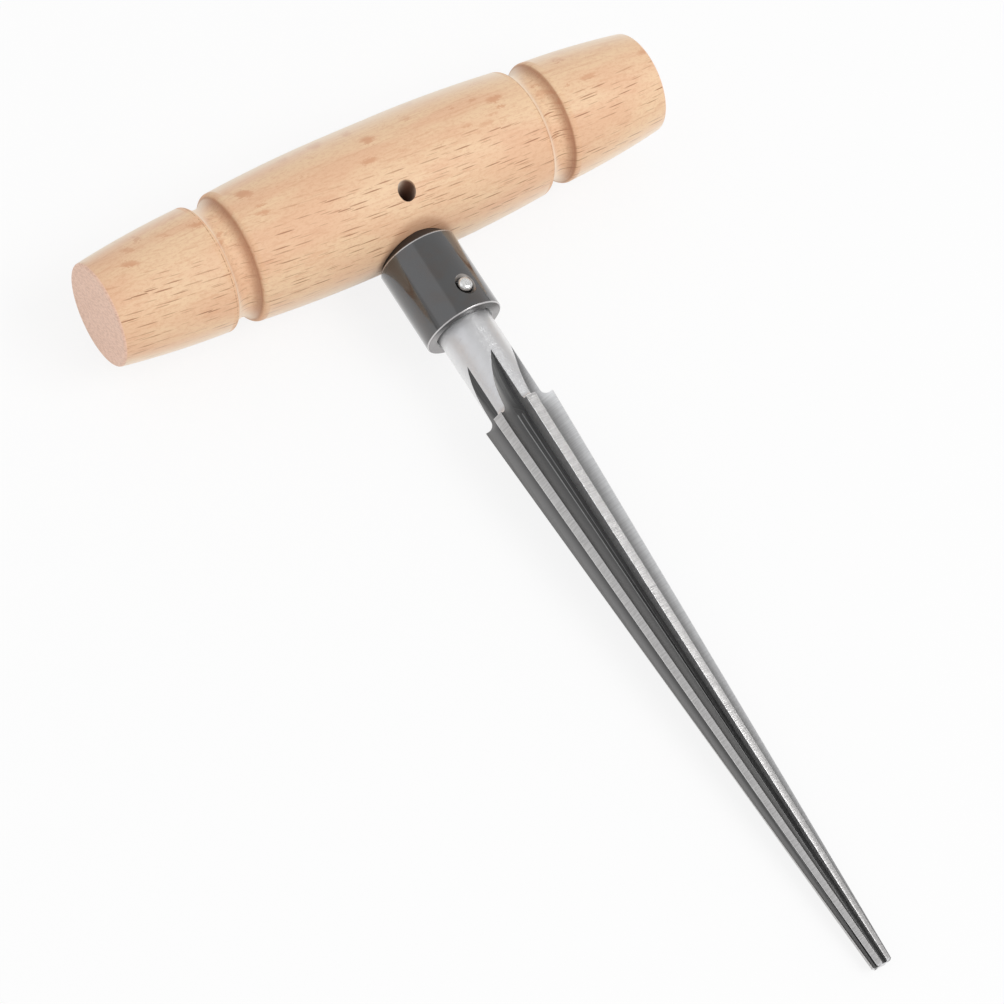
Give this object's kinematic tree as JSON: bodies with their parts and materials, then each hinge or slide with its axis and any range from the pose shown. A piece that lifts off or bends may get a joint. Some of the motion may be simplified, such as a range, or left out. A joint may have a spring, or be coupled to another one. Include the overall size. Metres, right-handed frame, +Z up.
{
  "type": "tapered hand reamer",
  "caption": "Tapered hand reamer: straight-fluted steel cutter pinned in a dark steel collar on a turned wooden T-handle.",
  "frame": {"origin": "middle of the underside of the whole tool as it lies, with the handle's barrel and the cutter's tip on z = 0", "axes": "+X along the handle, -Y the way the cutter points, +Z up, with the pinned side of the collar uppermost"},
  "size_m": [0.1056, 0.1628, 0.0246],
  "materials": {
    "handle_wood": "sanded, unvarnished beech",
    "collar_steel": "black oxide, glossy",
    "cutter_steel": "ground",
    "pin_steel": "bright",
    "hidden_pin_steel": "plain"
  },
  "bodies": {
    "root": {"handle": "handle_wood", "collar": "collar_steel", "reamer": "cutter_steel", "shank_pin": "pin_steel", "handle_pin": "hidden_pin_steel"}
  },
  "joints": []
}
